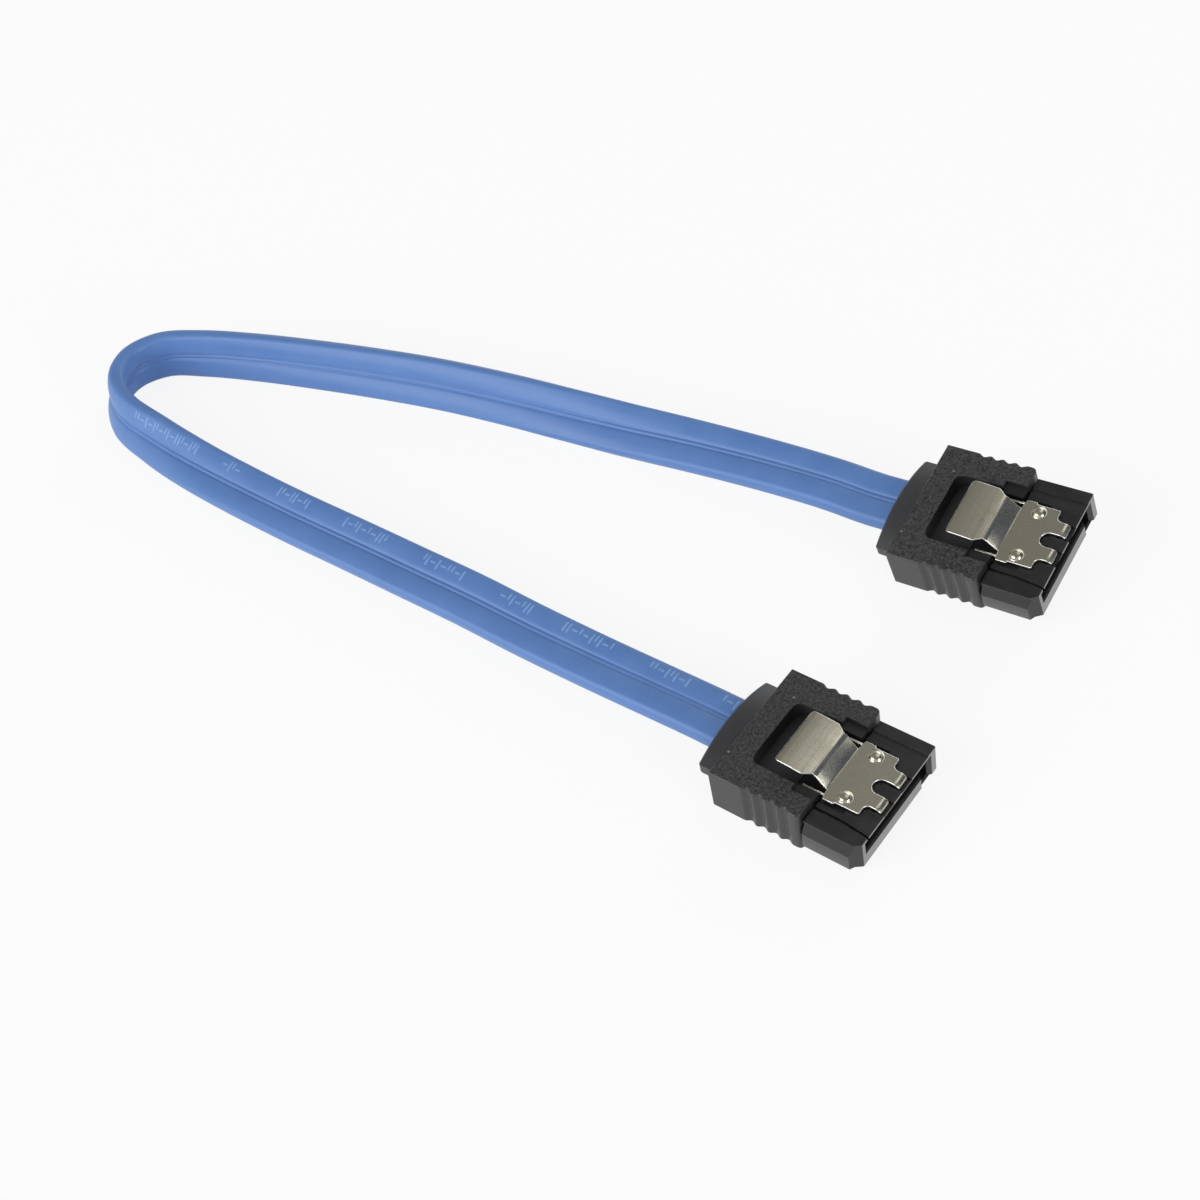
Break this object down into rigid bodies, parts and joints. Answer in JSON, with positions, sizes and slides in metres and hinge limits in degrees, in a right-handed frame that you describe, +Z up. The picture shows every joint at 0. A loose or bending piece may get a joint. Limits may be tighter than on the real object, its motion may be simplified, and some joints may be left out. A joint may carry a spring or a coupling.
{
  "type": "serial ata data cable",
  "caption": "Short blue flat-ribbon serial data cable for a disk drive, with a straight latching plug on each end.",
  "frame": {"origin": "middle of the near plug's grip on its underside, on the surface that the cable lies on", "axes": "+X the way the near plug goes in, +Y across the cable towards the far plug, +Z up"},
  "size_m": [0.1199, 0.0493, 0.0091],
  "materials": {
    "grip": "spark-eroded matt top, satin sides",
    "housing": "moulded semi-gloss",
    "inner_mould": "matt moulded",
    "contact": "gold-flashed",
    "latch": "rolled stainless sheet",
    "ribbon": "satin flexible vinyl",
    "core": "satin insulation",
    "drain": "tinned copper"
  },
  "bodies": {
    "cable": {"near_grip": "grip", "near_contact_housing": "housing", "near_inner_mould": "inner_mould", "near_contact_1": "contact", "near_contact_2": "contact", "near_contact_3": "contact", "near_contact_4": "contact", "near_contact_5": "contact", "near_contact_6": "contact", "near_contact_7": "contact", "near_drain_wire_1": "drain", "near_signal_wire_2": "core", "near_signal_wire_3": "core", "near_drain_wire_4": "drain", "near_signal_wire_5": "core", "near_signal_wire_6": "core", "near_drain_wire_7": "drain", "far_grip": "grip", "far_contact_housing": "housing", "far_inner_mould": "inner_mould", "far_contact_1": "contact", "far_contact_2": "contact", "far_contact_3": "contact", "far_contact_4": "contact", "far_contact_5": "contact", "far_contact_6": "contact", "far_contact_7": "contact", "far_drain_wire_1": "drain", "far_signal_wire_2": "core", "far_signal_wire_3": "core", "far_drain_wire_4": "drain", "far_signal_wire_5": "core", "far_signal_wire_6": "core", "far_drain_wire_7": "drain", "ribbon_cable": "ribbon"},
    "near_latch": {"near_latch": "latch"},
    "far_latch": {"far_latch": "latch"}
  },
  "joints": [
    {"name": "near_latch_press", "type": "hinge", "parent": "cable", "child": "near_latch", "pos_m": [0.011, 0, 0.0043], "axis": [0, -1, 0], "range_deg": [0, 3.5], "stiffness_Nm_per_rad": 0.3},
    {"name": "far_latch_press", "type": "hinge", "parent": "cable", "child": "far_latch", "pos_m": [0.01044, 0.03385, 0.00688], "axis": [0.0643, -0.9796, -0.1902], "range_deg": [0, 3.5], "stiffness_Nm_per_rad": 0.3}
  ]
}
